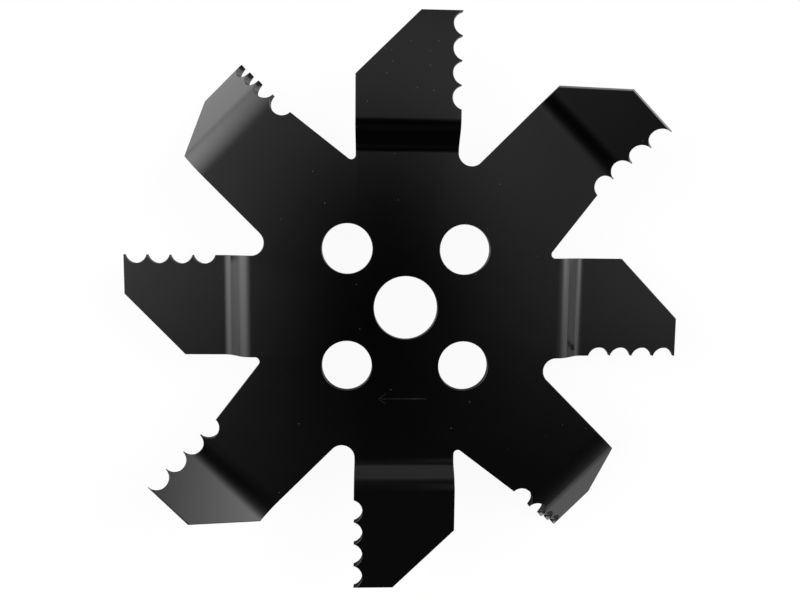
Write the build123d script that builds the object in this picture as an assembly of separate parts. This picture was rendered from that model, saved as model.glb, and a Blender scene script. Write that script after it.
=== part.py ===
from build123d import *
import math
import os

# Brush cutter mulching blade: one steel sheet, cut flat, then pressed and painted.
# Millimetres. The origin is on the bore's axis at mid thickness, +Z out of the front face.
# The blade turns clockwise seen from +Z, so an arm's leading edge is its clockwise side.
# Every arm is drawn along +X, with its leading edge on the -Y side.

# Sheet and hub
sheet = 3.0
blade_diameter = 229.5
bore_diameter = 25.4
hole_diameter = 20.0
hole_square_width = 46.8

# Arms, in the order straight, angled, straight, angled
arm_count = 8
arm_width = 40.4
pocket_radius = 5.2
notch_radius = 1.7

# Round gullets that leave sharp teeth along every leading edge
gullet_count = 4
gullet_pitch = 9.1

# Straight arms, whose outer part is offset parallel to the hub
straight_gullet_radius = 4.72
straight_corner_across = 24.6
straight_corner_along = 23.8
joggle_setback = 2.7
joggle_height = 6.6
joggle_angle = 42.0
joggle_bend_radius = 5.0

# Angled arms, laid out flat, whose tips are bent out of the sheet
angled_length = 122.2
angled_lead = 21.4
angled_lead_taper = 7.6
angled_gullet_radius = 4.55
angled_corner_across = 20.3
angled_corner_along = 18.8
tip_length = 30.7
tip_angle_up = 33.8
tip_angle_down = 45.0
tip_bend_radius_up = 18.5
tip_bend_radius_down = 15.5

# Smoothness of the bends: sections for each stretch between two corners of the outline
bend_slices = 16
shortest_stretch = 0.2

half_width = arm_width / 2
arm_step = 360 / arm_count
root_distance = half_width / math.tan(math.radians(arm_step / 2))

# The joggle measured along the sheet's mid line: two equal bends with a straight ramp between
joggle_mid_radius = joggle_bend_radius + sheet / 2
joggle_bend_rise = joggle_mid_radius * (1 - math.cos(math.radians(joggle_angle)))
ramp_length = (joggle_height - 2 * joggle_bend_rise) / math.sin(math.radians(joggle_angle))
joggle_bend_length = joggle_mid_radius * math.radians(joggle_angle)
joggle_flat_length = 2 * joggle_bend_length + ramp_length
joggle_run = (
    2 * joggle_mid_radius * math.sin(math.radians(joggle_angle))
    + ramp_length * math.cos(math.radians(joggle_angle))
)

# The outermost tooth of a straight arm lies on the blade's circle
straight_reach = math.sqrt((blade_diameter / 2) ** 2 - half_width**2)
straight_length = straight_reach + joggle_flat_length - joggle_run

tip_start = angled_length - tip_length

# Where the teeth of an angled arm start, and how much wider its leading side is at the centre
tooth_start = angled_length - gullet_count * gullet_pitch
widening = tooth_start * math.tan(math.radians(angled_lead_taper))
notch_angle = arm_step + angled_lead_taper


def turn_of(index):
    """Direction of an arm about +Z, in degrees, counted clockwise from +Y."""
    return 90 - index * arm_step


def gullets(length, lead, radius):
    """Circles cut into a leading edge from the tip inwards, that meet in points on the edge."""
    standoff = math.sqrt(max(0, radius**2 - (gullet_pitch / 2) ** 2))
    centres = [(length - gullet_pitch * (n + 0.5), -lead - standoff) for n in range(gullet_count)]
    return [Pos(x, y) * Circle(radius) for x, y in centres]


def straight_arm():
    """Flat outline of a straight arm, with its trailing corner cut off."""
    outline = Polyline(
        (0, -half_width),
        (straight_length, -half_width),
        (straight_length, half_width - straight_corner_across),
        (straight_length - straight_corner_along, half_width),
        (0, half_width),
        close=True,
    )
    return make_face(outline) - gullets(straight_length, half_width, straight_gullet_radius)


def angled_arm():
    """Flat outline of an angled arm, which widens from its teeth towards the hub."""
    outline = Polyline(
        (0, -angled_lead - widening),
        (tooth_start, -angled_lead),
        (angled_length, -angled_lead),
        (angled_length, half_width - angled_corner_across),
        (angled_length - angled_corner_along, half_width),
        (0, half_width),
        close=True,
    )
    return make_face(outline) - gullets(angled_length, angled_lead, angled_gullet_radius)


def notch_corner():
    """Where an angled arm's leading edge meets the next straight arm's trailing edge."""
    last_tooth = Vector(tooth_start, -angled_lead).rotate(Axis.Z, arm_step)
    run = (last_tooth.Y - half_width) / math.tan(math.radians(notch_angle))
    return Vector(last_tooth.X - run, half_width)


def joggle_start():
    """The first bend of a straight arm lies just outside the round bottom of the notch."""
    depth = notch_radius / math.sin(math.radians(notch_angle / 2)) - notch_radius
    return notch_corner().X + depth * math.cos(math.radians(notch_angle / 2)) + joggle_setback


def blank():
    """The flat sheet as cut: eight arms round the hub, with filleted roots and the openings."""
    arms = [straight_arm() if n % 2 == 0 else angled_arm() for n in range(arm_count)]
    outline = Sketch() + [Rot(Z=turn_of(n)) * arm for n, arm in enumerate(arms)]
    for n in range(0, arm_count, 2):
        pocket = Vector(root_distance, -half_width).rotate(Axis.Z, turn_of(n))
        outline = fillet(outline.vertices().sort_by_distance(pocket)[0], pocket_radius)
        notch = notch_corner().rotate(Axis.Z, turn_of(n))
        outline = fillet(outline.vertices().sort_by_distance(notch)[0], notch_radius)
    holes = GridLocations(hole_square_width, hole_square_width, 2, 2) * Circle(hole_diameter / 2)
    return outline - Circle(bore_diameter / 2) - holes


def beyond(start):
    """The part of the plane that holds one arm past a bend line, clear of the arms beside it."""
    low = -max(half_width, angled_lead) - pocket_radius
    high = half_width + notch_radius
    return Pos(start, low) * Rectangle(blade_diameter, high - low, align=(Align.MIN, Align.MIN))


def panel(flat, start, end):
    """The stretch of a flat arm between two bend lines, as sheet."""
    strip = Pos(X=start) * Rectangle(end - start, blade_diameter, align=(Align.MIN, Align.CENTER))
    return extrude(flat & strip, sheet / 2, both=True)


def slice_at(flat, x):
    """Upright section of the sheet across a flat arm, as wide as the outline is at x."""
    across = Line((x, -blade_diameter), (x, blade_diameter))
    cut = (flat & across).bounding_box()
    width = cut.max.Y - cut.min.Y
    return Pos(x, cut.center().Y, 0) * (Plane.YZ * Rectangle(width, sheet))


def stretches(flat, start, end):
    """Split a bend at each corner of the outline inside it, so that its teeth stay sharp."""
    marks = [start]
    for x in sorted(v.X for v in flat.vertices()):
        if marks[-1] + shortest_stretch < x < end - shortest_stretch:
            marks.append(x)
    return zip(marks, marks[1:] + [end])


def bend(flat, start, angle, mid_radius):
    """Turn each section of a flat arm about the bend's axis, and give where and how it ends."""
    centre = math.copysign(mid_radius, angle)
    end = start + mid_radius * math.radians(abs(angle))

    def turned(x):
        share = (x - start) / (end - start)
        return Pos(start, 0, centre) * Rot(Y=-angle * share) * Pos(-x, 0, -centre)

    pieces = []
    for x0, x1 in stretches(flat, start, end):
        middle, half = (x0 + x1) / 2, (x1 - x0) / 2
        # Closer together towards a tooth's point, where the gullet's edge runs steepest
        steps = [middle - half * math.cos(math.pi * n / bend_slices) for n in range(bend_slices + 1)]
        pieces.append(loft([turned(x) * slice_at(flat, x) for x in steps]))
    return pieces, end, turned(end)


def fold(flat, bends):
    """Press a flat arm: each bend has a start along the sheet, an angle and a mid radius."""
    place = Pos()
    pieces = []
    for n, (start, angle, mid_radius) in enumerate(bends):
        bent, end, turned = bend(flat, start, angle, mid_radius)
        following = bends[n + 1][0] if n + 1 < len(bends) else blade_diameter
        pieces += [place * piece for piece in bent]
        place = place * turned
        pieces.append(place * panel(flat, end, following))
    return pieces


def joggle(side):
    """The two opposite bends of a straight arm. Side is 1 towards +Z and -1 away from it."""
    first = joggle_start()
    second = first + joggle_bend_length + ramp_length
    return [
        (first, side * joggle_angle, joggle_mid_radius),
        (second, -side * joggle_angle, joggle_mid_radius),
    ]


def mulching_blade():
    """The whole blade. Going clockwise from +Y, two arms rise and two fall, and so on round."""
    sheet_outline = blank()
    pressings = [
        joggle(1),
        [(tip_start, tip_angle_up, tip_bend_radius_up + sheet / 2)],
        joggle(-1),
        [(tip_start, -tip_angle_down, tip_bend_radius_down + sheet / 2)],
    ]
    hub = sheet_outline
    arms = []
    for n in range(arm_count):
        bends = pressings[n % len(pressings)]
        region = beyond(bends[0][0])
        hub -= Rot(Z=turn_of(n)) * region
        flat = (Rot(Z=-turn_of(n)) * sheet_outline) & region
        arms += [Rot(Z=turn_of(n)) * piece for piece in fold(flat, bends)]
    return extrude(hub, sheet / 2, both=True) + arms


os.makedirs("parts", exist_ok=True)
export_step(mulching_blade(), "parts/mulching_blade.step")
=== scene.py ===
import math

import bmesh
import bpy
from bpy.props import FloatProperty, FloatVectorProperty, IntProperty, PointerProperty
from mathutils import Matrix, Vector
from mathutils.geometry import tessellate_polygon


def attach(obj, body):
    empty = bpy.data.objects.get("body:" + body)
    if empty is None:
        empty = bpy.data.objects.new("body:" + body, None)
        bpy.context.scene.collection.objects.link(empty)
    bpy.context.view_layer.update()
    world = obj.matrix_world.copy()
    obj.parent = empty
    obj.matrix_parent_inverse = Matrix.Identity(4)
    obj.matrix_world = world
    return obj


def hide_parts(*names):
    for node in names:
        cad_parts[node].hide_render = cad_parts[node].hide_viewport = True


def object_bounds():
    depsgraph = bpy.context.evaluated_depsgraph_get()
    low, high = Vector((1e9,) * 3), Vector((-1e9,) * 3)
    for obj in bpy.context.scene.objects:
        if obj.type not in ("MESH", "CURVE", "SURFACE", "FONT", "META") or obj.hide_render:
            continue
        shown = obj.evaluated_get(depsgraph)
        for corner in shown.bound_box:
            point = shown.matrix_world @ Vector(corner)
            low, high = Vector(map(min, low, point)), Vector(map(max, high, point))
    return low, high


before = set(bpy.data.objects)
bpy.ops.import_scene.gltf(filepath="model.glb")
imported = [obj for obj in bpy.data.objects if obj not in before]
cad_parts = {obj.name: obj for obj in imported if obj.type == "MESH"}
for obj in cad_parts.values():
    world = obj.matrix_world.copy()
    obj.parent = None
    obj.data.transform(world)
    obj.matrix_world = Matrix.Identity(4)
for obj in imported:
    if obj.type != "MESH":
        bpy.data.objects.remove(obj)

bl_info = {
    "name": "Mulching Blade",
    "version": (1, 0, 0),
    "blender": (4, 5, 0),
    "location": "3D View > Sidebar > Mulching Blade",
    "description": "A brush cutter's mulching blade, cut from sheet, pressed and painted",
    "category": "Add Mesh",
}

CAD_NODE = "mulching_blade"
CAD_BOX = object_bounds()
MM = 0.001

# The blank is four alike quarters, each with a straight arm along +X and an angled arm
# 45 degrees on from it. An arm's leading edge lies on the -Y side of its own axis.
QUARTERS = 4
ARM_STEP = math.radians(45)

# How finely the mesh follows the drawing, and the gaps in metres that count as none
ARC_STEP = math.radians(6)
GULLET_STEPS = 22
EDGE_RINGS = 3
LEVEL = 1e-9
CUT_GAP = 1e-7
WELD_GAP = 2e-6


def length(name, description, millimetres):
    return FloatProperty(
        name=name, description=description, default=millimetres * MM, unit="LENGTH", precision=5)


def turn(name, description, degrees):
    return FloatProperty(
        name=name, description=description, default=math.radians(degrees), subtype="ANGLE")


# Sizes and colours that a user would change


class BlankSizes(bpy.types.PropertyGroup):
    sheet: length("Sheet", "Thickness of the sheet", 3.0)
    edge_round: length("Edge Rounding", "Radius that the paint gives to a cut edge", 0.2)
    bore: length("Bore", "Diameter of the bore", 25.4)
    hole: length("Hub Holes", "Diameter of the four holes round the bore", 20.0)
    hole_square: length("Hole Square", "Side of the square that the four holes stand on", 46.8)
    arm_width: length("Arm Width", "Width of a straight arm", 40.4)
    pocket_radius: length("Pocket Radius", "Round between a leading edge and the next arm", 5.2)
    notch_radius: length("Notch Radius", "Round between a trailing edge and the next arm", 1.7)
    pitch: length("Tooth Pitch", "Distance from tooth to tooth along a leading edge", 9.1)
    gullets: IntProperty(
        name="Gullets", description="Round gullets in each leading edge", default=4, min=1)
    diameter: length("Blade Diameter", "Circle through the straight arms' outer teeth", 229.5)
    straight_gullet: length("Straight Gullets", "Gullet radius on the straight arms", 4.72)
    straight_across: length("Straight Corner Across", "Cut corner, across a straight arm", 24.6)
    straight_along: length("Straight Corner Along", "Cut corner, along a straight arm", 23.8)
    angled_length: length("Angled Length", "Reach of an angled arm before pressing", 122.2)
    angled_lead: length("Angled Lead", "Distance of an angled arm's teeth from its axis", 21.4)
    angled_taper: turn("Angled Taper", "How far an angled arm widens towards the hub", 7.6)
    angled_gullet: length("Angled Gullets", "Gullet radius on the angled arms", 4.55)
    angled_across: length("Angled Corner Across", "Cut corner, across an angled arm", 20.3)
    angled_along: length("Angled Corner Along", "Cut corner, along an angled arm", 18.8)


class PressSizes(bpy.types.PropertyGroup):
    setback: length("Joggle Setback", "Flat between the notch and a joggle", 2.7)
    height: length("Joggle Height", "Offset of a straight arm's outer part", 6.6)
    joggle_angle: turn("Joggle Angle", "Slope of a joggle's ramp", 42.0)
    joggle_radius: length("Joggle Radius", "Inside radius of a joggle's bends", 5.0)
    tip_length: length("Tip Length", "Flat length of a tip, from its bend to its end", 30.7)
    tip_up: turn("Tips Up", "Bend of the tips that rise out of the front", 33.8)
    tip_down: turn("Tips Down", "Bend of the tips that drop behind", 45.0)
    radius_up: length("Tip Radius Up", "Inside radius of the rising tips' bends", 18.5)
    radius_down: length("Tip Radius Down", "Inside radius of the dropping tips' bends", 15.5)
    joggle_slices: IntProperty(
        name="Joggle Slices", description="Steps round a bend of a joggle", default=14, min=4)
    tip_slices: IntProperty(
        name="Tip Slices", description="Steps round the bend of a tip", default=24, min=4)


class PaintLook(bpy.types.PropertyGroup):
    colour: FloatVectorProperty(
        name="Paint", description="Colour of the black gloss paint",
        default=(0.0001, 0.0001, 0.0001), subtype="COLOR", min=0, max=1)
    dust: FloatVectorProperty(
        name="Dust", description="Colour of the fine dust on the paint",
        default=(0.2, 0.2, 0.2), subtype="COLOR", min=0, max=1)
    roughness: FloatProperty(
        name="Roughness", description="Roughness of the clean paint", default=0.14, min=0, max=1)


class StageLook(bpy.types.PropertyGroup):
    floor: FloatVectorProperty(
        name="Floor", description="Colour of the floor", default=(0.9, 0.9, 0.9),
        subtype="COLOR", min=0, max=1)
    shadow: FloatProperty(
        name="Shadow", description="How much the floor shows of the object's shadow",
        default=0.06, min=0, max=1, subtype="FACTOR")
    # Painted light: the floor's glow in the blade's reflections
    glow_near: length("Glow Near", "Y where the floor's glow in reflections starts to rise", -55.0)
    glow_far: length("Glow Far", "Y where the floor's glow in reflections is full", 75.0)
    glow_low: FloatProperty(
        name="Glow Low", description="The floor's glow on the near side", default=0.5, min=0)
    glow_high: FloatProperty(
        name="Glow High", description="The floor's glow on the far side", default=2.2, min=0)
    glow_steep: FloatProperty(
        name="Glow Steep", description="Share of the glow that is left where the floor is seen "
        "from above", default=0.18, min=0, max=1, subtype="FACTOR")
    floor_side: length("Floor Side", "Side of the square floor", 6000.0)


# The flat blank


def arc(centre, radius, start, end, steps=None):
    """Points along an arc, both ends included."""
    steps = steps or max(2, math.ceil(abs(end - start) / ARC_STEP))
    angles = [start + (end - start) * n / steps for n in range(steps + 1)]
    return [centre + radius * Vector((math.cos(a), math.sin(a))) for a in angles]


def meet(p, along, q, across):
    """Where the line through p meets the line through q."""
    return p + along * ((q - p).cross(across) / along.cross(across))


def gullet_standoff(radius, pitch):
    """How far the centres of gullets that meet in points lie outside the arm's edge."""
    return math.sqrt(max(0.0, radius**2 - (pitch / 2) ** 2))


class Edge:
    """A run of points along a cut edge, with its sharp corners marked."""

    def __init__(self):
        self.points = []
        self.sharp = []

    def add(self, points, after=False, first=False):
        """Carries the edge on. It may turn sharply where it left off, or at the first new point."""
        if self.points:
            self.sharp[-1] = after
        self.points += points
        self.sharp += [first] + [False] * (len(points) - 1)


def toothed_arm(edge, sizes, arm, inset, spin, start, along):
    """Adds an arm from its leading edge to the end of its cut corner, drawn in by inset.
    The leading edge comes in from start, in the direction along, both in the arm's own frame."""
    reach, lead, radius, across, down = arm
    half = sizes.arm_width / 2
    stand = gullet_standoff(radius, sizes.pitch)
    grown = radius + inset

    def place(points, **sharp):
        edge.add([spin @ p for p in points], **sharp)

    entry = None
    for n in reversed(range(sizes.gullets)):
        centre = Vector((reach - sizes.pitch * (n + 0.5), -lead - stand))
        if entry is None:
            # The leading edge runs into the innermost gullet
            way = along.normalized()
            to = start - centre
            b = to.dot(way)
            entry = start - way * (b + math.sqrt(b * b - to.dot(to) + grown**2))
        width = sizes.pitch / 2 - (inset if n == 0 else 0)
        leave = centre + Vector((width, math.sqrt(grown**2 - width**2)))
        first = math.atan2(entry.y - centre.y, entry.x - centre.x)
        last = math.atan2(leave.y - centre.y, leave.x - centre.x)
        if first < last:
            first += 2 * math.pi
        points = arc(centre, grown, first, last, GULLET_STEPS)
        place(points if n == 0 else points[:-1], first=True)
        entry = leave
    slope = Vector((-down, across))
    foot = Vector((reach, half - across)) - Vector((across, down)).normalized() * inset
    place([meet(Vector((reach - inset, 0)), Vector((0, 1)), foot, slope)], after=True)
    place([meet(Vector((0, half - inset)), Vector((1, 0)), foot, slope)], after=True)


def straight_reach(sizes, press):
    """Flat length of a straight arm, whose pressed teeth reach the blade's circle."""
    reach = math.sqrt((sizes.diameter / 2) ** 2 - (sizes.arm_width / 2) ** 2)
    flat, run = joggle_lengths(sizes, press)
    return reach + flat - run


def joggle_lengths(sizes, press):
    """Length of a joggle along the sheet's mid line, and along the hub's plane."""
    mid = press.joggle_radius + sizes.sheet / 2
    angle = press.joggle_angle
    ramp = ramp_length(sizes, press)
    return 2 * mid * angle + ramp, 2 * mid * math.sin(angle) + ramp * math.cos(angle)


def ramp_length(sizes, press):
    """Length of the straight ramp between the two bends of a joggle."""
    mid = press.joggle_radius + sizes.sheet / 2
    angle = press.joggle_angle
    return (press.height - 2 * mid * (1 - math.cos(angle))) / math.sin(angle)


def notch(sizes):
    """Corner between a straight arm's trailing edge and the slanted leading edge of the next
    arm, and the angle that the two edges open at."""
    half = sizes.arm_width / 2
    spin = Matrix.Rotation(ARM_STEP, 2)
    tooth = spin @ Vector((sizes.angled_length - sizes.gullets * sizes.pitch, -sizes.angled_lead))
    way = spin @ Vector((math.cos(sizes.angled_taper), math.sin(sizes.angled_taper)))
    corner = meet(Vector((0, half)), Vector((1, 0)), tooth, way)
    return corner, math.atan2(way.y, way.x)


def joggle_start(sizes, press):
    """The first bend of a straight arm lies just outside the round bottom of the notch."""
    corner, opening = notch(sizes)
    depth = sizes.notch_radius / math.sin(opening / 2) - sizes.notch_radius
    return corner.x + depth * math.cos(opening / 2) + press.setback


def quarter_edge(sizes, press, inset):
    """The cut edge of one quarter, from pocket to pocket, drawn in by inset."""
    half = sizes.arm_width / 2
    eighth = ARM_STEP / 2
    pocket = (half + sizes.pocket_radius) / math.sin(eighth)
    pocket_round = sizes.pocket_radius + inset
    plain = Matrix.Rotation(0, 2)
    spin = Matrix.Rotation(ARM_STEP, 2)
    edge = Edge()

    low = pocket * Vector((math.cos(eighth), -math.sin(eighth)))
    edge.add(arc(low, pocket_round, math.pi - eighth, math.pi / 2))
    arm = (straight_reach(sizes, press), half, sizes.straight_gullet,
           sizes.straight_across, sizes.straight_along)
    toothed_arm(edge, sizes, arm, inset, plain, edge.points[-1], Vector((1, 0)))

    corner, opening = notch(sizes)
    middle = opening / 2
    centre = corner + (sizes.notch_radius / math.sin(middle)) * Vector(
        (math.cos(middle), math.sin(middle)))
    around = arc(centre, sizes.notch_radius + inset, -math.pi / 2, opening - 1.5 * math.pi)
    edge.add(around, after=True)
    arm = (sizes.angled_length, sizes.angled_lead, sizes.angled_gullet,
           sizes.angled_across, sizes.angled_along)
    start = spin.transposed() @ edge.points[-1]
    slant = Vector((math.cos(sizes.angled_taper), math.sin(sizes.angled_taper)))
    toothed_arm(edge, sizes, arm, inset, spin, start, slant)

    high = spin @ (pocket * Vector((math.cos(eighth), math.sin(eighth))))
    around = arc(high, pocket_round, ARM_STEP - math.pi / 2, ARM_STEP + eighth - math.pi)
    edge.add(around, after=True)
    return edge


def rings_of(sizes):
    """Inset and height of each ring of points round a cut edge, from the back to the front."""
    half, r = sizes.sheet / 2, sizes.edge_round
    angles = [math.pi / 2 * n / EDGE_RINGS for n in range(EDGE_RINGS + 1)]
    front = [(r * (1 - math.cos(a)), half - r * (1 - math.sin(a))) for a in angles]
    return [(inset, -z) for inset, z in reversed(front)] + front


def walled(bm, make, rings, closed):
    """Builds the wall of a cut edge from its rings. make gives the edge for an inset."""
    rows = []
    for inset, z in rings:
        edge = make(inset)
        rows.append([bm.verts.new((p.x, p.y, z)) for p in edge.points])
    count = len(rows[0])
    sharp = edge.sharp
    last = count if closed else count - 1
    for low, high in zip(rows, rows[1:]):
        for n in range(last):
            m = (n + 1) % count
            bm.faces.new((low[n], low[m], high[m], high[n]))
        for n in range(count):
            if sharp[n]:
                bm.edges.get((low[n], high[n])).smooth = False
    for row in (rows[0], rows[-1]):
        for n in range(last):
            bm.edges.get((row[n], row[(n + 1) % count])).smooth = False
    return rows


def flat_quarter(sizes, press):
    """One quarter of the blank as a mesh, open along its two cuts to the next quarters."""
    bm = bmesh.new()
    rings = rings_of(sizes)
    eighth = ARM_STEP / 2

    def bore(inset):
        edge = Edge()
        edge.add(arc(Vector((0, 0)), sizes.bore / 2 + inset, 3 * eighth, -eighth))
        return edge

    def hole(inset):
        edge = Edge()
        centre = Vector((sizes.hole_square / 2, sizes.hole_square / 2))
        edge.add(arc(centre, sizes.hole / 2 + inset, 2 * math.pi, 0)[:-1])
        return edge

    outer = walled(bm, lambda inset: quarter_edge(sizes, press, inset), rings, False)
    inner = walled(bm, bore, rings, False)
    round_hole = walled(bm, hole, rings, True)
    for row in (0, -1):
        border = outer[row] + inner[row]
        verts = border + round_hole[row]
        loops = [[v.co for v in border], [v.co for v in round_hole[row]]]
        for triangle in tessellate_polygon(loops):
            bm.faces.new([verts[n] for n in triangle])
    bm.normal_update()
    half = sizes.sheet / 2
    for face in bm.faces:
        z = face.calc_center_median().z
        if abs(abs(z) - half) < LEVEL and face.normal.z * z < 0:
            face.normal_flip()
    first = joggle_start(sizes, press)
    bend = press.joggle_angle * (press.joggle_radius + half)
    second = first + ramp_length(sizes, press) + bend
    slice_arm(bm, sizes, 0.0, bend_marks(first, bend, press.joggle_slices)
              + bend_marks(second, bend, press.joggle_slices))
    start = sizes.angled_length - press.tip_length
    up = press.tip_up * (press.radius_up + half)
    down = press.tip_down * (press.radius_down + half)
    slice_arm(bm, sizes, ARM_STEP, sorted(
        bend_marks(start, max(up, down), press.tip_slices) + [start + min(up, down)]))
    for face in bm.faces:
        face.smooth = True
    mesh = bpy.data.meshes.new("flat_quarter")
    bm.to_mesh(mesh)
    bm.free()
    return mesh


def bend_marks(start, along, slices):
    """Places along an arm where the sheet is cut across, from one end of a bend to the other."""
    return [start + along * n / slices for n in range(slices + 1)]


def slice_arm(bm, sizes, angle, marks):
    """Cuts the sheet across an arm at every mark, so that it can bend there."""
    out = Vector((math.cos(angle), math.sin(angle), 0))
    side = Vector((-math.sin(angle), math.cos(angle), 0))
    low, high = arm_zone(sizes)
    for n, mark in enumerate(marks):
        faces = bm.faces[:]
        if n:
            faces = []
            for face in bm.faces:
                middle = face.calc_center_median()
                if middle.dot(out) > marks[0] and low < middle.dot(side) < high:
                    faces.append(face)
        geometry = set(faces)
        for face in faces:
            geometry.update(face.verts)
            geometry.update(face.edges)
        bmesh.ops.bisect_plane(
            bm, geom=list(geometry), dist=CUT_GAP, plane_co=out * mark, plane_no=out)


def arm_zone(sizes):
    """How far an arm reaches either side of its axis, clear of the arms beside it."""
    half = sizes.arm_width / 2
    return -max(half, sizes.angled_lead) - sizes.pocket_radius, half + sizes.notch_radius


# The press: a node tree that sets out the quarters and bends their arms


class Tree:
    """A short way to write a node tree as sums."""

    def __init__(self, tree):
        self.tree = tree
        self.nodes = tree.nodes
        self.links = tree.links

    def node(self, kind, inputs=(), **settings):
        node = self.nodes.new(kind)
        for key, value in settings.items():
            setattr(node, key, value)
        for key, value in dict(inputs).items():
            self.put(node.inputs[key], value)
        return node

    def put(self, socket, value):
        if isinstance(value, bpy.types.NodeSocket):
            self.links.new(value, socket)
        elif value is not None:
            socket.default_value = value

    def math(self, operation, *values):
        return self.node("ShaderNodeMath", enumerate(values), operation=operation).outputs[0]

    def add(self, a, b):
        return self.math("ADD", a, b)

    def sub(self, a, b):
        return self.math("SUBTRACT", a, b)

    def mul(self, a, b):
        return self.math("MULTIPLY", a, b)

    def sockets(self, *wanted):
        for name, way, kind in wanted:
            self.tree.interface.new_socket(name=name, in_out=way, socket_type=kind)
        return self.nodes.new("NodeGroupInput").outputs, self.nodes.new("NodeGroupOutput").inputs


def bend_group():
    """Carries a point of the flat sheet round one bend. Along and Height are the point's place
    along the arm and above the mid sheet. Side is 1 for a bend towards the front, else -1."""
    t = Tree(bpy.data.node_groups.new("Sheet Bend", "GeometryNodeTree"))
    number = "NodeSocketFloat"
    given, made = t.sockets(
        ("Along", "INPUT", number), ("Height", "INPUT", number), ("Start", "INPUT", number),
        ("Angle", "INPUT", number), ("Radius", "INPUT", number), ("Side", "INPUT", number),
        ("Along", "OUTPUT", number), ("Height", "OUTPUT", number))
    past = t.sub(given["Along"], given["Start"])
    most = t.mul(given["Angle"], given["Radius"])
    inside = t.math("MINIMUM", t.math("MAXIMUM", past, 0.0), most)
    turned = t.math("DIVIDE", inside, given["Radius"])
    rest = t.sub(past, inside)
    arm = t.sub(given["Radius"], t.mul(given["Side"], given["Height"]))
    sine, cosine = t.math("SINE", turned), t.math("COSINE", turned)
    along = t.add(given["Start"], t.add(t.mul(arm, sine), t.mul(rest, cosine)))
    rise = t.add(t.sub(given["Radius"], t.mul(arm, cosine)), t.mul(rest, sine))
    t.put(made["Along"], along)
    t.put(made["Height"], t.mul(given["Side"], rise))
    return t.tree


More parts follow.
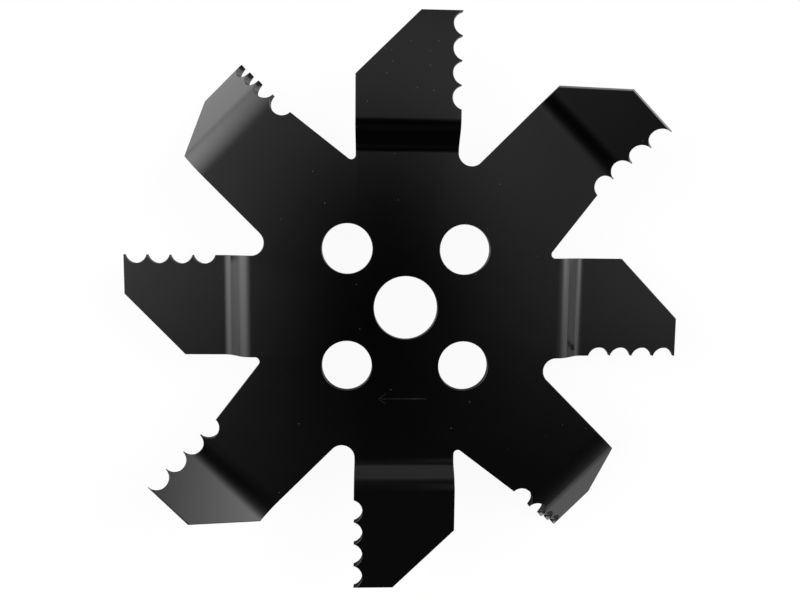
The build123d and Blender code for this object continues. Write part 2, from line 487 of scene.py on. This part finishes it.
def press_tree():
    """Sets the quarters out round the bore, joins them and presses the arms."""
    t = Tree(bpy.data.node_groups.new("Pressed Blade", "GeometryNodeTree"))
    number, whole = "NodeSocketFloat", "NodeSocketInt"
    given, made = t.sockets(
        ("Flat Quarter", "INPUT", "NodeSocketGeometry"), ("Quarters", "INPUT", whole),
        ("Arm Low", "INPUT", number), ("Arm High", "INPUT", number),
        ("Joggle Start", "INPUT", number), ("Second Start", "INPUT", number),
        ("Joggle Angle", "INPUT", number), ("Joggle Radius", "INPUT", number),
        ("Tip Start", "INPUT", number), ("Tip Up", "INPUT", number),
        ("Tip Down", "INPUT", number), ("Radius Up", "INPUT", number),
        ("Radius Down", "INPUT", number),
        ("Paint", "INPUT", "NodeSocketMaterial"), ("Blade", "OUTPUT", "NodeSocketGeometry"))

    index = t.node("GeometryNodeInputIndex").outputs[0]
    quarter_turn = t.math("DIVIDE", math.tau, given["Quarters"])
    facing = t.node("ShaderNodeCombineXYZ", {"Z": t.mul(index, quarter_turn)}).outputs[0]
    points = t.node("GeometryNodePoints", {"Count": given["Quarters"]}).outputs[0]
    placed = t.node("GeometryNodeInstanceOnPoints", {
        "Points": points, "Instance": given["Flat Quarter"],
        "Rotation": t.node("FunctionNodeEulerToRotation", {"Euler": facing}).outputs[0]})
    real = t.node("GeometryNodeRealizeInstances", {"Geometry": placed.outputs[0]}).outputs[0]
    joined = t.node("GeometryNodeMergeByDistance", {
        "Geometry": real, "Distance": WELD_GAP}).outputs[0]

    # Arms are counted clockwise from +Y: up, tip up, down, tip down, and again
    spot = t.node("GeometryNodeInputPosition").outputs[0]
    at = t.node("ShaderNodeSeparateXYZ", {"Vector": spot}).outputs
    angle = t.math("ARCTAN2", at["Y"], at["X"])
    arm = t.math("ROUND", t.math("DIVIDE", t.sub(math.pi / 2, angle), ARM_STEP))
    kind = t.math("FLOORED_MODULO", arm, 4.0)
    angled = t.math("FLOORED_MODULO", kind, 2.0)
    side = t.math("SIGN", t.sub(1.5, kind))
    away = t.sub(math.pi / 2, t.mul(arm, ARM_STEP))
    local = t.node("ShaderNodeVectorRotate", {
        "Vector": spot, "Angle": t.mul(away, -1.0)}, rotation_type="Z_AXIS").outputs[0]
    own = t.node("ShaderNodeSeparateXYZ", {"Vector": local}).outputs

    def either(straight, tip):
        return t.node("ShaderNodeMix", {"Factor": angled, "A": straight, "B": tip}).outputs[0]

    def of_tip(up, down):
        return t.node("ShaderNodeMix", {"Factor": drops, "A": up, "B": down}).outputs[0]

    drops = t.math("GREATER_THAN", kind, 2.0)
    tip_angle = of_tip(given["Tip Up"], given["Tip Down"])
    tip_radius = of_tip(given["Radius Up"], given["Radius Down"])
    start = either(given["Joggle Start"], given["Tip Start"])
    bend = bend_group()
    second = t.node("GeometryNodeGroup", node_tree=bend)
    first = t.node("GeometryNodeGroup", node_tree=bend)
    for key, value in {
        "Along": own["X"], "Height": own["Z"], "Start": given["Second Start"],
        "Angle": either(given["Joggle Angle"], 0.0), "Radius": given["Joggle Radius"],
        "Side": t.mul(side, -1.0),
    }.items():
        t.put(second.inputs[key], value)
    for key, value in {
        "Along": second.outputs["Along"], "Height": second.outputs["Height"],
        "Start": start, "Angle": either(given["Joggle Angle"], tip_angle),
        "Radius": either(given["Joggle Radius"], tip_radius), "Side": side,
    }.items():
        t.put(first.inputs[key], value)
    bent = t.node("ShaderNodeCombineXYZ", {
        "X": first.outputs["Along"], "Y": own["Y"], "Z": first.outputs["Height"]}).outputs[0]
    back = t.node("ShaderNodeVectorRotate", {
        "Vector": bent, "Angle": away}, rotation_type="Z_AXIS").outputs[0]
    on_arm = t.mul(
        t.math("GREATER_THAN", own["X"], start),
        t.mul(t.math("GREATER_THAN", own["Y"], given["Arm Low"]),
              t.math("LESS_THAN", own["Y"], given["Arm High"])))
    pressed = t.node("GeometryNodeSetPosition", {
        "Geometry": joined, "Selection": on_arm, "Position": back}).outputs[0]
    painted = t.node("GeometryNodeSetMaterial", {
        "Geometry": pressed, "Material": given["Paint"]}).outputs[0]
    t.put(made["Blade"], painted)
    return t.tree


def press(flat, sizes, bends, paint):
    """Runs the press on the flat quarter and gives the finished blade as a plain mesh."""
    tree = press_tree()
    carrier = bpy.data.objects.new("flat_quarter", flat)
    bpy.context.collection.objects.link(carrier)
    modifier = carrier.modifiers.new("Press", "NODES")
    modifier.node_group = tree
    low, high = arm_zone(sizes)
    mid = bends.joggle_radius + sizes.sheet / 2
    start = joggle_start(sizes, bends)
    values = {
        "Quarters": QUARTERS, "Arm Low": low, "Arm High": high, "Joggle Start": start,
        "Second Start": start + mid * bends.joggle_angle + ramp_length(sizes, bends),
        "Joggle Angle": bends.joggle_angle, "Joggle Radius": mid,
        "Tip Start": sizes.angled_length - bends.tip_length, "Tip Up": bends.tip_up,
        "Tip Down": bends.tip_down, "Radius Up": bends.radius_up + sizes.sheet / 2,
        "Radius Down": bends.radius_down + sizes.sheet / 2, "Paint": paint,
    }
    for item in tree.interface.items_tree:
        if item.in_out == "INPUT" and item.name in values:
            modifier[item.identifier] = values[item.name]
    evaluated = carrier.evaluated_get(bpy.context.evaluated_depsgraph_get())
    mesh = bpy.data.meshes.new_from_object(evaluated)
    bpy.data.objects.remove(carrier)
    mesh.name = "pressed_blade"
    return mesh


# Paint


# The upper arm carries more specks round this place, in millimetres. The shares are of the cells
# that hold a speck, in that place and out of its reach.
DUSTY_PLACE = (2.2, 93.0, 8.1)
DUSTY_REACH = 20.0
DUSTY_SHARE = 0.85
PLAIN_SHARE = 0.05

# Specks of dust: cells in a metre, radius as a share of a cell, and what a speck does to the paint
SPECK_CELLS = 420.0
SPECK_RADIUS = 0.085
SPECK_COVER = 0.4
SPECK_ROUGHNESS = 0.5
SPECK_RISE = 2.0
SPECK_AMOUNT = 0.6

# A thin uneven haze over all the paint, how much of the arrow's strokes shows, and the fine
# orange peel of the paint, with its depth in millimetres
HAZE_SCALE = 26.0
HAZE_DETAIL = 5.0
HAZE_GRAIN = 0.62
HAZE_CLEAR = 0.35
HAZE_FULL = 0.75
HAZE_COVER = 0.001
HAZE_ROUGHNESS = 0.12
SCUFF_COVER = 0.2
PEEL_SCALE = 900.0
PEEL_DETAIL = 2.0
PEEL_GRAIN = 0.5
PEEL_STRENGTH = 0.05
PEEL_DEPTH = 0.02

PAINT_IOR = 1.5


def dust_group():
    """Fine dust and specks on a glossy surface, and strokes scuffed into it."""
    t = Tree(bpy.data.node_groups.new("Fine Dust", "ShaderNodeTree"))
    given, made = t.sockets(
        ("Paint", "INPUT", "NodeSocketColor"), ("Dust", "INPUT", "NodeSocketColor"),
        ("Roughness", "INPUT", "NodeSocketFloat"), ("Amount", "INPUT", "NodeSocketFloat"),
        ("Scuffed", "INPUT", "NodeSocketFloat"),
        ("Color", "OUTPUT", "NodeSocketColor"), ("Roughness", "OUTPUT", "NodeSocketFloat"),
        ("Height", "OUTPUT", "NodeSocketFloat"))
    place = t.node("ShaderNodeTexCoord").outputs["Object"]
    specks = t.node("ShaderNodeTexVoronoi", {
        "Vector": place, "Scale": SPECK_CELLS, "Randomness": 1.0}, feature="F1")
    near = t.math("LESS_THAN", specks.outputs["Distance"], SPECK_RADIUS)
    chosen = t.node("ShaderNodeTexWhiteNoise", {
        "Vector": specks.outputs["Position"]}, noise_dimensions="3D").outputs["Value"]
    away = t.node("ShaderNodeVectorMath", {
        0: place, 1: [v * MM for v in DUSTY_PLACE]}, operation="DISTANCE").outputs["Value"]
    dusty = t.node("ShaderNodeMapRange", {
        "Value": away, "From Min": 0.0, "From Max": DUSTY_REACH * MM, "To Min": DUSTY_SHARE,
        "To Max": PLAIN_SHARE}).outputs["Result"]
    few = t.math("GREATER_THAN", chosen, t.sub(1.0, dusty))
    haze = t.node("ShaderNodeTexNoise", {
        "Vector": place, "Scale": HAZE_SCALE, "Detail": HAZE_DETAIL,
        "Roughness": HAZE_GRAIN}).outputs["Fac"]
    speck = t.mul(t.mul(near, few), given["Amount"])
    veil = t.node("ShaderNodeMapRange", {
        "Value": haze, "From Min": HAZE_CLEAR, "From Max": HAZE_FULL, "To Min": 0.0,
        "To Max": HAZE_COVER}).outputs["Result"]
    worn = t.mul(t.mul(given["Scuffed"], t.mul(haze, haze)), SCUFF_COVER)
    cover = t.add(t.mul(speck, SPECK_COVER), t.add(veil, worn))
    # A colour mix has its two colours at sockets 6 and 7, and its result at 2
    colour = t.node("ShaderNodeMix", data_type="RGBA")
    t.put(colour.inputs["Factor"], cover)
    t.put(colour.inputs[6], given["Paint"])
    t.put(colour.inputs[7], given["Dust"])
    peel = t.node("ShaderNodeTexNoise", {
        "Vector": place, "Scale": PEEL_SCALE, "Detail": PEEL_DETAIL,
        "Roughness": PEEL_GRAIN}).outputs["Fac"]
    rough = t.add(given["Roughness"], t.mul(t.sub(haze, 0.5), HAZE_ROUGHNESS))
    t.put(made["Color"], colour.outputs[2])
    t.put(made["Roughness"], t.add(rough, t.mul(speck, SPECK_ROUGHNESS)))
    t.put(made["Height"], t.add(peel, t.mul(speck, SPECK_RISE)))
    return t.tree


# A plain stamped arrow on the hub's front shows which way the blade turns. Millimetres.
ARROW_TIP = (-10.6, -36.9)
ARROW_LENGTH = 19.2
ARROW_HEAD = 2.9
ARROW_SPREAD = 2.1
ARROW_STROKE = 0.25


def arrow_group():
    """The arrow's strokes as a mask, pointing along -X."""
    t = Tree(bpy.data.node_groups.new("Stamped Arrow", "ShaderNodeTree"))
    _, made = t.sockets(("Mask", "OUTPUT", "NodeSocketFloat"))
    place = t.node("ShaderNodeTexCoord").outputs["Object"]
    at = t.node("ShaderNodeSeparateXYZ", {"Vector": place}).outputs
    back = t.sub(at["X"], ARROW_TIP[0] * MM)
    off = t.math("ABSOLUTE", t.sub(at["Y"], ARROW_TIP[1] * MM))
    slope = ARROW_SPREAD / ARROW_HEAD

    def stroke(distance, reach):
        near = t.node("ShaderNodeMapRange", {
            "Value": distance, "From Min": 0.5 * ARROW_STROKE * MM, "From Max": ARROW_STROKE * MM,
            "To Min": 1.0, "To Max": 0.0}).outputs["Result"]
        begun = t.math("GREATER_THAN", back, 0.0)
        return t.mul(near, t.mul(begun, t.math("LESS_THAN", back, reach * MM)))

    shaft = stroke(off, ARROW_LENGTH)
    slant = t.math("ABSOLUTE", t.sub(off, t.mul(back, slope)))
    head = stroke(t.mul(slant, 1 / math.hypot(1, slope)), ARROW_HEAD)
    front = t.math("GREATER_THAN", at["Z"], 0.0)
    t.put(made["Mask"], t.mul(t.math("MAXIMUM", shaft, head), front))
    return t.tree


def blade_paint(look):
    """Black gloss paint over the whole blade."""
    material = bpy.data.materials.new("black_gloss_paint")
    material.use_nodes = True
    t = Tree(material.node_tree)
    shader = t.nodes["Principled BSDF"]
    shader.inputs["IOR"].default_value = PAINT_IOR
    dust = t.node("ShaderNodeGroup", node_tree=dust_group())
    dust.inputs["Paint"].default_value = (*look.colour, 1)
    dust.inputs["Dust"].default_value = (*look.dust, 1)
    dust.inputs["Roughness"].default_value = look.roughness
    dust.inputs["Amount"].default_value = SPECK_AMOUNT
    arrow = t.node("ShaderNodeGroup", node_tree=arrow_group())
    t.put(dust.inputs["Scuffed"], arrow.outputs["Mask"])
    bump = t.node("ShaderNodeBump", {
        "Height": dust.outputs["Height"], "Strength": PEEL_STRENGTH, "Distance": PEEL_DEPTH * MM})
    t.put(shader.inputs["Base Color"], dust.outputs["Color"])
    t.put(shader.inputs["Roughness"], dust.outputs["Roughness"])
    t.put(shader.inputs["Normal"], bump.outputs["Normal"])
    return material


class BLADE_OT_make_blade(bpy.types.Operator):
    """Cut the blank, press it, paint it and put it in the place of the plain solid"""

    bl_idname = "blade.make_blade"
    bl_label = "Make Blade"

    def execute(self, context):
        sizes, bends = context.scene.blade_blank, context.scene.blade_press
        paint = blade_paint(context.scene.blade_paint)
        mesh = press(flat_quarter(sizes, bends), sizes, bends, paint)
        blade = bpy.data.objects.new("pressed_blade", mesh)
        context.collection.objects.link(blade)
        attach(blade, "root")
        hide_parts(CAD_NODE)
        return {"FINISHED"}


# Stage


def soft_light_group():
    """A soft patch of light in the room round the blade, as seen in a direction."""
    t = Tree(bpy.data.node_groups.new("Soft Light", "ShaderNodeTree"))
    given, made = t.sockets(
        ("Way", "INPUT", "NodeSocketVector"), ("Towards", "INPUT", "NodeSocketVector"),
        ("Tightness", "INPUT", "NodeSocketFloat"), ("Strength", "INPUT", "NodeSocketFloat"),
        ("Light", "OUTPUT", "NodeSocketFloat"))
    near = t.node("ShaderNodeVectorMath", {
        0: given["Way"], 1: given["Towards"]}, operation="DOT_PRODUCT").outputs["Value"]
    fall = t.math("EXPONENT", t.mul(t.sub(near, 1.0), given["Tightness"]))
    t.put(made["Light"], t.mul(fall, given["Strength"]))
    return t.tree


# Each light of the room: compass direction (0 is +X, 90 is +Y), angle from straight up,
# tightness and strength
ROOM_LIGHTS = {
    "left wall": (159, 77, 9.0, 5.0),
    "left lamp": (165, 48, 11.4, 3.3),
    "right wall": (1, 99, 5.6, 1.7),
    "right ceiling": (-5, 26, 63.0, 0.45),
    "upper right lamp": (21, 60, 21.0, 9.2),
    "upper wall": (84, 74, 17.0, 0.7),
    "upper ceiling": (68, 11, 35.0, 0.7),
    "lower left wall": (-128, 46, 30.0, 0.12),
    "lower wall": (-80, 38, 6.0, 0.05),
}
ROOM_FILL = 0.004


def room(world):
    """White to the camera, and a dim room with soft lights in the blade's reflections."""
    world.use_nodes = True
    t = Tree(world.node_tree)
    t.nodes.clear()
    way = t.node("ShaderNodeTexCoord").outputs["Generated"]
    group = soft_light_group()
    total = ROOM_FILL
    for compass, down, tightness, strength in ROOM_LIGHTS.values():
        a, d = math.radians(compass), math.radians(down)
        light = t.node("ShaderNodeGroup", node_tree=group)
        t.put(light.inputs["Way"], way)
        light.inputs["Towards"].default_value = (
            math.sin(d) * math.cos(a), math.sin(d) * math.sin(a), math.cos(d))
        light.inputs["Tightness"].default_value = tightness
        light.inputs["Strength"].default_value = strength
        total = t.add(light.outputs[0], total)
    seen = t.node("ShaderNodeLightPath").outputs["Is Camera Ray"]
    strength = t.node("ShaderNodeMix", {"Factor": seen, "A": total, "B": 1.0}).outputs[0]
    sky = t.node("ShaderNodeBackground", {"Color": (1, 1, 1, 1), "Strength": strength})
    t.node("ShaderNodeOutputWorld", {"Surface": sky.outputs[0]})


# In reflections the floor shows painted light: a painted glow that rises this way, as if the floor
# were lit from beyond the upper arms. It is dim where it is seen from above, and its painted sheen
# shines more from the first of these two shares of a low angle to the second.
GLOW_WAY = (-0.12, 1.0, 0.0)
SHEEN_FROM = 0.25
SHEEN_TO = 0.6


def floor_material(look):
    """Pale matt floor, that stays white to the camera, with a painted glow and sheen in
    reflections.
    """
    material = bpy.data.materials.new("pale_floor")
    material.use_nodes = True
    t = Tree(material.node_tree)
    t.nodes.clear()
    matt = t.node("ShaderNodeBsdfDiffuse", {"Color": (*look.floor, 1)})
    ray = t.node("ShaderNodeLightPath").outputs
    place = t.node("ShaderNodeTexCoord").outputs["Object"]
    # Painted light in reflections: a glow brighter towards the far side, and a sheen at a low angle
    beyond = t.node("ShaderNodeVectorMath", {
        0: place, 1: GLOW_WAY}, operation="DOT_PRODUCT").outputs["Value"]
    glow = t.node("ShaderNodeMapRange", {
        "Value": beyond, "From Min": look.glow_near, "From Max": look.glow_far,
        "To Min": look.glow_low, "To Max": look.glow_high}).outputs["Result"]
    facing = t.node("ShaderNodeLayerWeight", {"Blend": 0.5}).outputs["Facing"]
    sheen = t.node("ShaderNodeMapRange", {
        "Value": facing, "From Min": SHEEN_FROM, "From Max": SHEEN_TO,
        "To Min": look.glow_steep, "To Max": 1.0}).outputs["Result"]
    mirrored = t.math("MAXIMUM", ray["Is Glossy Ray"], ray["Is Transmission Ray"])
    strength = t.node("ShaderNodeMix", {
        "Factor": mirrored, "A": 1.0, "B": t.mul(glow, sheen)}).outputs[0]
    white = t.node("ShaderNodeEmission", {"Color": (1, 1, 1, 1), "Strength": strength})
    seen = t.math("MAXIMUM", ray["Is Camera Ray"], mirrored)
    share = t.mul(seen, 1.0 - look.shadow)
    mixed = t.node("ShaderNodeMixShader", {0: share, 1: matt.outputs[0], 2: white.outputs[0]})
    t.node("ShaderNodeOutputMaterial", {"Surface": mixed.outputs[0]})
    return material


# A dark oval card over the blade, in millimetres
CARD_MIDDLE = (-8.0, -11.0)
CARD_REACH = (90.0, 146.0)
CARD_HEIGHT = 350.0

# How much of the light the card's middle holds back, and the share of its reach that its rim
# fades over, inwards and outwards. Its thickness doesn't count, so its reach upwards is endless.
CARD_COVER = 0.89
CARD_SOFTNESS = 0.72
ENDLESS = 1e6


def card_material():
    """Black in the middle and clear at the rim, and clear to the camera."""
    material = bpy.data.materials.new("dark_card")
    material.use_nodes = True
    t = Tree(material.node_tree)
    t.nodes.clear()
    place = t.node("ShaderNodeTexCoord").outputs["Object"]
    middle = [v * MM for v in CARD_MIDDLE] + [0.0]
    reach = [v * MM for v in CARD_REACH] + [ENDLESS]
    offset = t.node("ShaderNodeVectorMath", {0: place, 1: middle}, operation="SUBTRACT").outputs[0]
    scaled = t.node("ShaderNodeVectorMath", {0: offset, 1: reach}, operation="DIVIDE").outputs[0]
    out = t.node("ShaderNodeVectorMath", {0: scaled}, operation="LENGTH").outputs["Value"]
    cover = t.node("ShaderNodeMapRange", {
        "Value": out, "From Min": 1 - CARD_SOFTNESS, "From Max": 1 + CARD_SOFTNESS,
        "To Min": CARD_COVER, "To Max": 0.0}, interpolation_type="SMOOTHSTEP").outputs["Result"]
    camera = t.node("ShaderNodeLightPath").outputs["Is Camera Ray"]
    share = t.mul(cover, t.sub(1.0, camera))
    black = t.node("ShaderNodeBsdfDiffuse", {"Color": (0, 0, 0, 1)})
    clear = t.node("ShaderNodeBsdfTransparent")
    mixed = t.node("ShaderNodeMixShader", {0: share, 1: clear.outputs[0], 2: black.outputs[0]})
    t.node("ShaderNodeOutputMaterial", {"Surface": mixed.outputs[0]})
    return material


def stage_sheet(context, name, middle, half, height, material):
    """A flat sheet of the stage, parallel to the hub."""
    mesh = bpy.data.meshes.new(name)
    signs = ((-1, -1), (1, -1), (1, 1), (-1, 1))
    corners = [(middle[0] + x * half[0], middle[1] + y * half[1], height) for x, y in signs]
    mesh.from_pydata(corners, [], [(0, 1, 2, 3)])
    mesh.materials.append(material)
    sheet = bpy.data.objects.new(name, mesh)
    context.collection.objects.link(sheet)


# Where the picture is taken from, against the blade: place in metres and turn in radians
CAMERA_PLACE = (-0.0119909, 0.0267089, 0.2602790)
CAMERA_TURN = (0.0909533, 0.0364712, -0.0102402)
PICTURE_WIDTH = 800
FOCAL_PIXELS = 652.9969
SENSOR_WIDTH = 36.0
NEAREST_SEEN = 0.01


class BLADE_OT_make_stage(bpy.types.Operator):
    """Set up the floor, the lights and the camera"""

    bl_idname = "blade.make_stage"
    bl_label = "Make Stage"

    def execute(self, context):
        look = context.scene.blade_stage
        side = look.floor_side / 2
        stage_sheet(
            context, "floor", (0, 0), (side, side), CAD_BOX[0].z, floor_material(look))
        rim = [v * MM * (1 + CARD_SOFTNESS) for v in CARD_REACH]
        stage_sheet(
            context, "dark_card", [v * MM for v in CARD_MIDDLE], rim, CARD_HEIGHT * MM,
            card_material())

        world = bpy.data.worlds.new("room")
        room(world)
        context.scene.world = world

        camera = bpy.data.objects.new("camera", bpy.data.cameras.new("camera"))
        context.collection.objects.link(camera)
        x, y, z = CAMERA_TURN
        turned = (Matrix.Rotation(x, 3, "X") @ Matrix.Rotation(y, 3, "Y")
                  @ Matrix.Rotation(z, 3, "Z"))
        camera.matrix_world = Matrix.Translation(CAMERA_PLACE) @ turned.transposed().to_4x4()
        camera.data.sensor_width = SENSOR_WIDTH
        camera.data.lens = FOCAL_PIXELS / PICTURE_WIDTH * SENSOR_WIDTH
        camera.data.clip_start = NEAREST_SEEN
        context.scene.camera = camera
        context.scene.view_settings.view_transform = "Standard"
        return {"FINISHED"}


class BLADE_PT_panel(bpy.types.Panel):
    bl_idname = "BLADE_PT_panel"
    bl_label = "Mulching Blade"
    bl_space_type = "VIEW_3D"
    bl_region_type = "UI"
    bl_category = "Mulching Blade"

    def draw(self, context):
        scene = context.scene
        for title, group in (
            ("Blank", scene.blade_blank), ("Press", scene.blade_press),
            ("Paint", scene.blade_paint), ("Stage", scene.blade_stage),
        ):
            box = self.layout.box()
            box.label(text=title)
            for name in group.__annotations__:
                box.prop(group, name)
        self.layout.operator(BLADE_OT_make_blade.bl_idname)
        self.layout.operator(BLADE_OT_make_stage.bl_idname)


CLASSES = (
    BlankSizes, PressSizes, PaintLook, StageLook,
    BLADE_OT_make_blade, BLADE_OT_make_stage, BLADE_PT_panel,
)
GROUPS = {
    "blade_blank": BlankSizes, "blade_press": PressSizes,
    "blade_paint": PaintLook, "blade_stage": StageLook,
}


def register():
    for cls in CLASSES:
        bpy.utils.register_class(cls)
    for name, group in GROUPS.items():
        setattr(bpy.types.Scene, name, PointerProperty(type=group))


def unregister():
    for name in GROUPS:
        delattr(bpy.types.Scene, name)
    for cls in reversed(CLASSES):
        bpy.utils.unregister_class(cls)


def main():
    register()
    bpy.ops.blade.make_blade()
    bpy.ops.blade.make_stage()


if __name__ == "__main__":
    main()
